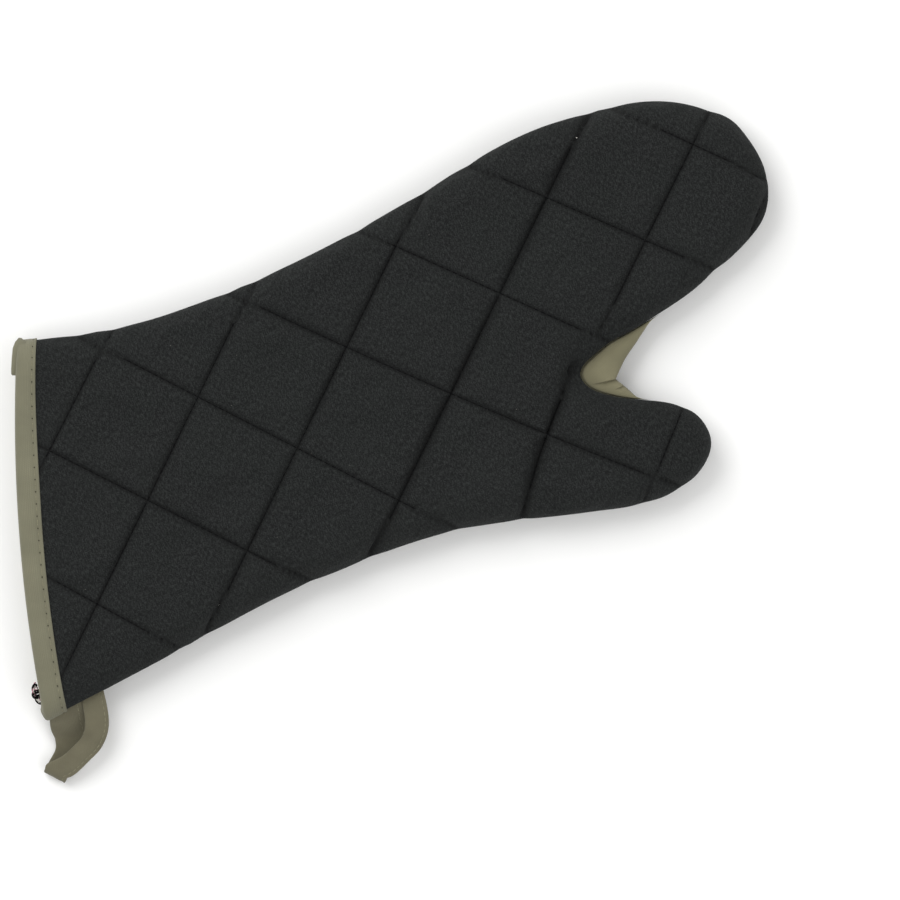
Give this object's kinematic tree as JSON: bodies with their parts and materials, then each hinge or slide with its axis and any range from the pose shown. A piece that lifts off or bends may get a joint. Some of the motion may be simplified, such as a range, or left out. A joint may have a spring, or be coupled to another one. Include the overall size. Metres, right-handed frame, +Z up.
{
  "type": "oven mitt",
  "caption": "Long quilted oven mitt with bound cuff, thumb, crotch guard and hanging loop; fingers and thumb fold and the loop swings.",
  "frame": {"origin": "on the resting surface, under the middle of the whole mitt's box", "axes": "+X from the cuff towards the fingertips, +Y across from the thumb side, +Z up from the surface the mitt lies on"},
  "size_m": [0.4398, 0.233, 0.028],
  "materials": {
    "cover_cloth": "matt charcoal cotton twill",
    "batting": "felted heat-resistant batting",
    "lining_cloth": "plain cotton",
    "quilting_thread": "black polyester thread",
    "overlocked_seam": "overlocked cloth edge",
    "guard_cloth": "khaki cotton, folded",
    "binding_tape": "khaki woven tape",
    "loop_tape": "khaki woven tape, folded",
    "tape_thread": "khaki sewing thread",
    "overlock_thread": "mixed overlock threads"
  },
  "bodies": {
    "hand": {"front_cover_hand": "cover_cloth", "front_cover_knuckle": "cover_cloth", "front_cover_crease": "cover_cloth", "front_batting_hand": "batting", "front_batting_knuckle": "batting", "front_batting_crease": "batting", "front_lining_hand": "lining_cloth", "front_lining_knuckle": "lining_cloth", "front_lining_crease": "lining_cloth", "front_quilting_hand": "quilting_thread", "front_quilting_knuckle": "quilting_thread", "front_quilting_crease": "quilting_thread", "back_cover_hand": "cover_cloth", "back_cover_knuckle": "cover_cloth", "back_cover_crease": "cover_cloth", "back_batting_hand": "batting", "back_batting_knuckle": "batting", "back_batting_crease": "batting", "back_lining_hand": "lining_cloth", "back_lining_knuckle": "lining_cloth", "back_lining_crease": "lining_cloth", "back_quilting_hand": "quilting_thread", "back_quilting_knuckle": "quilting_thread", "back_quilting_crease": "quilting_thread", "edge_seam_hand": "overlocked_seam", "edge_seam_knuckle": "overlocked_seam", "edge_seam_crease": "overlocked_seam", "loop_ends": "loop_tape", "web_guard": "guard_cloth", "binding_stitching": "tape_thread", "cuff_binding": "binding_tape", "overlock_tail": "overlock_thread"},
    "fingers": {"front_cover_fingers": "cover_cloth", "front_batting_fingers": "batting", "front_lining_fingers": "lining_cloth", "front_quilting_fingers": "quilting_thread", "back_cover_fingers": "cover_cloth", "back_batting_fingers": "batting", "back_lining_fingers": "lining_cloth", "back_quilting_fingers": "quilting_thread", "edge_seam_fingers": "overlocked_seam"},
    "thumb": {"front_cover_thumb": "cover_cloth", "front_batting_thumb": "batting", "front_lining_thumb": "lining_cloth", "front_quilting_thumb": "quilting_thread", "back_cover_thumb": "cover_cloth", "back_batting_thumb": "batting", "back_lining_thumb": "lining_cloth", "back_quilting_thumb": "quilting_thread", "edge_seam_thumb": "overlocked_seam"},
    "loop": {"loop_stitching": "tape_thread", "hanging_loop": "loop_tape"}
  },
  "joints": [
    {"name": "finger_fold", "type": "hinge", "parent": "hand", "child": "fingers", "pos_m": [0.15662, 0.0609, 0.014], "axis": [0.1392, -0.9903, 0], "range_deg": [-60, 60], "stiffness_Nm_per_rad": 0.05, "deforming": ["front_cover_knuckle", "front_batting_knuckle", "front_lining_knuckle", "front_quilting_knuckle", "back_cover_knuckle", "back_batting_knuckle", "back_lining_knuckle", "back_quilting_knuckle", "edge_seam_knuckle"]},
    {"name": "thumb_fold", "type": "hinge", "parent": "hand", "child": "thumb", "pos_m": [0.10895, -0.02802, 0.014], "axis": [-0.8829, -0.4695, 0], "range_deg": [-50, 50], "stiffness_Nm_per_rad": 0.04, "deforming": ["front_cover_crease", "front_batting_crease", "front_lining_crease", "front_quilting_crease", "back_cover_crease", "back_batting_crease", "back_lining_crease", "back_quilting_crease", "edge_seam_crease", "web_guard"]},
    {"name": "loop_swing", "type": "hinge", "parent": "hand", "child": "loop", "pos_m": [-0.19168, -0.0824, 0.014], "axis": [-0.9893, -0.1461, 0], "range_deg": [-30, 100], "stiffness_Nm_per_rad": 0.001}
  ]
}
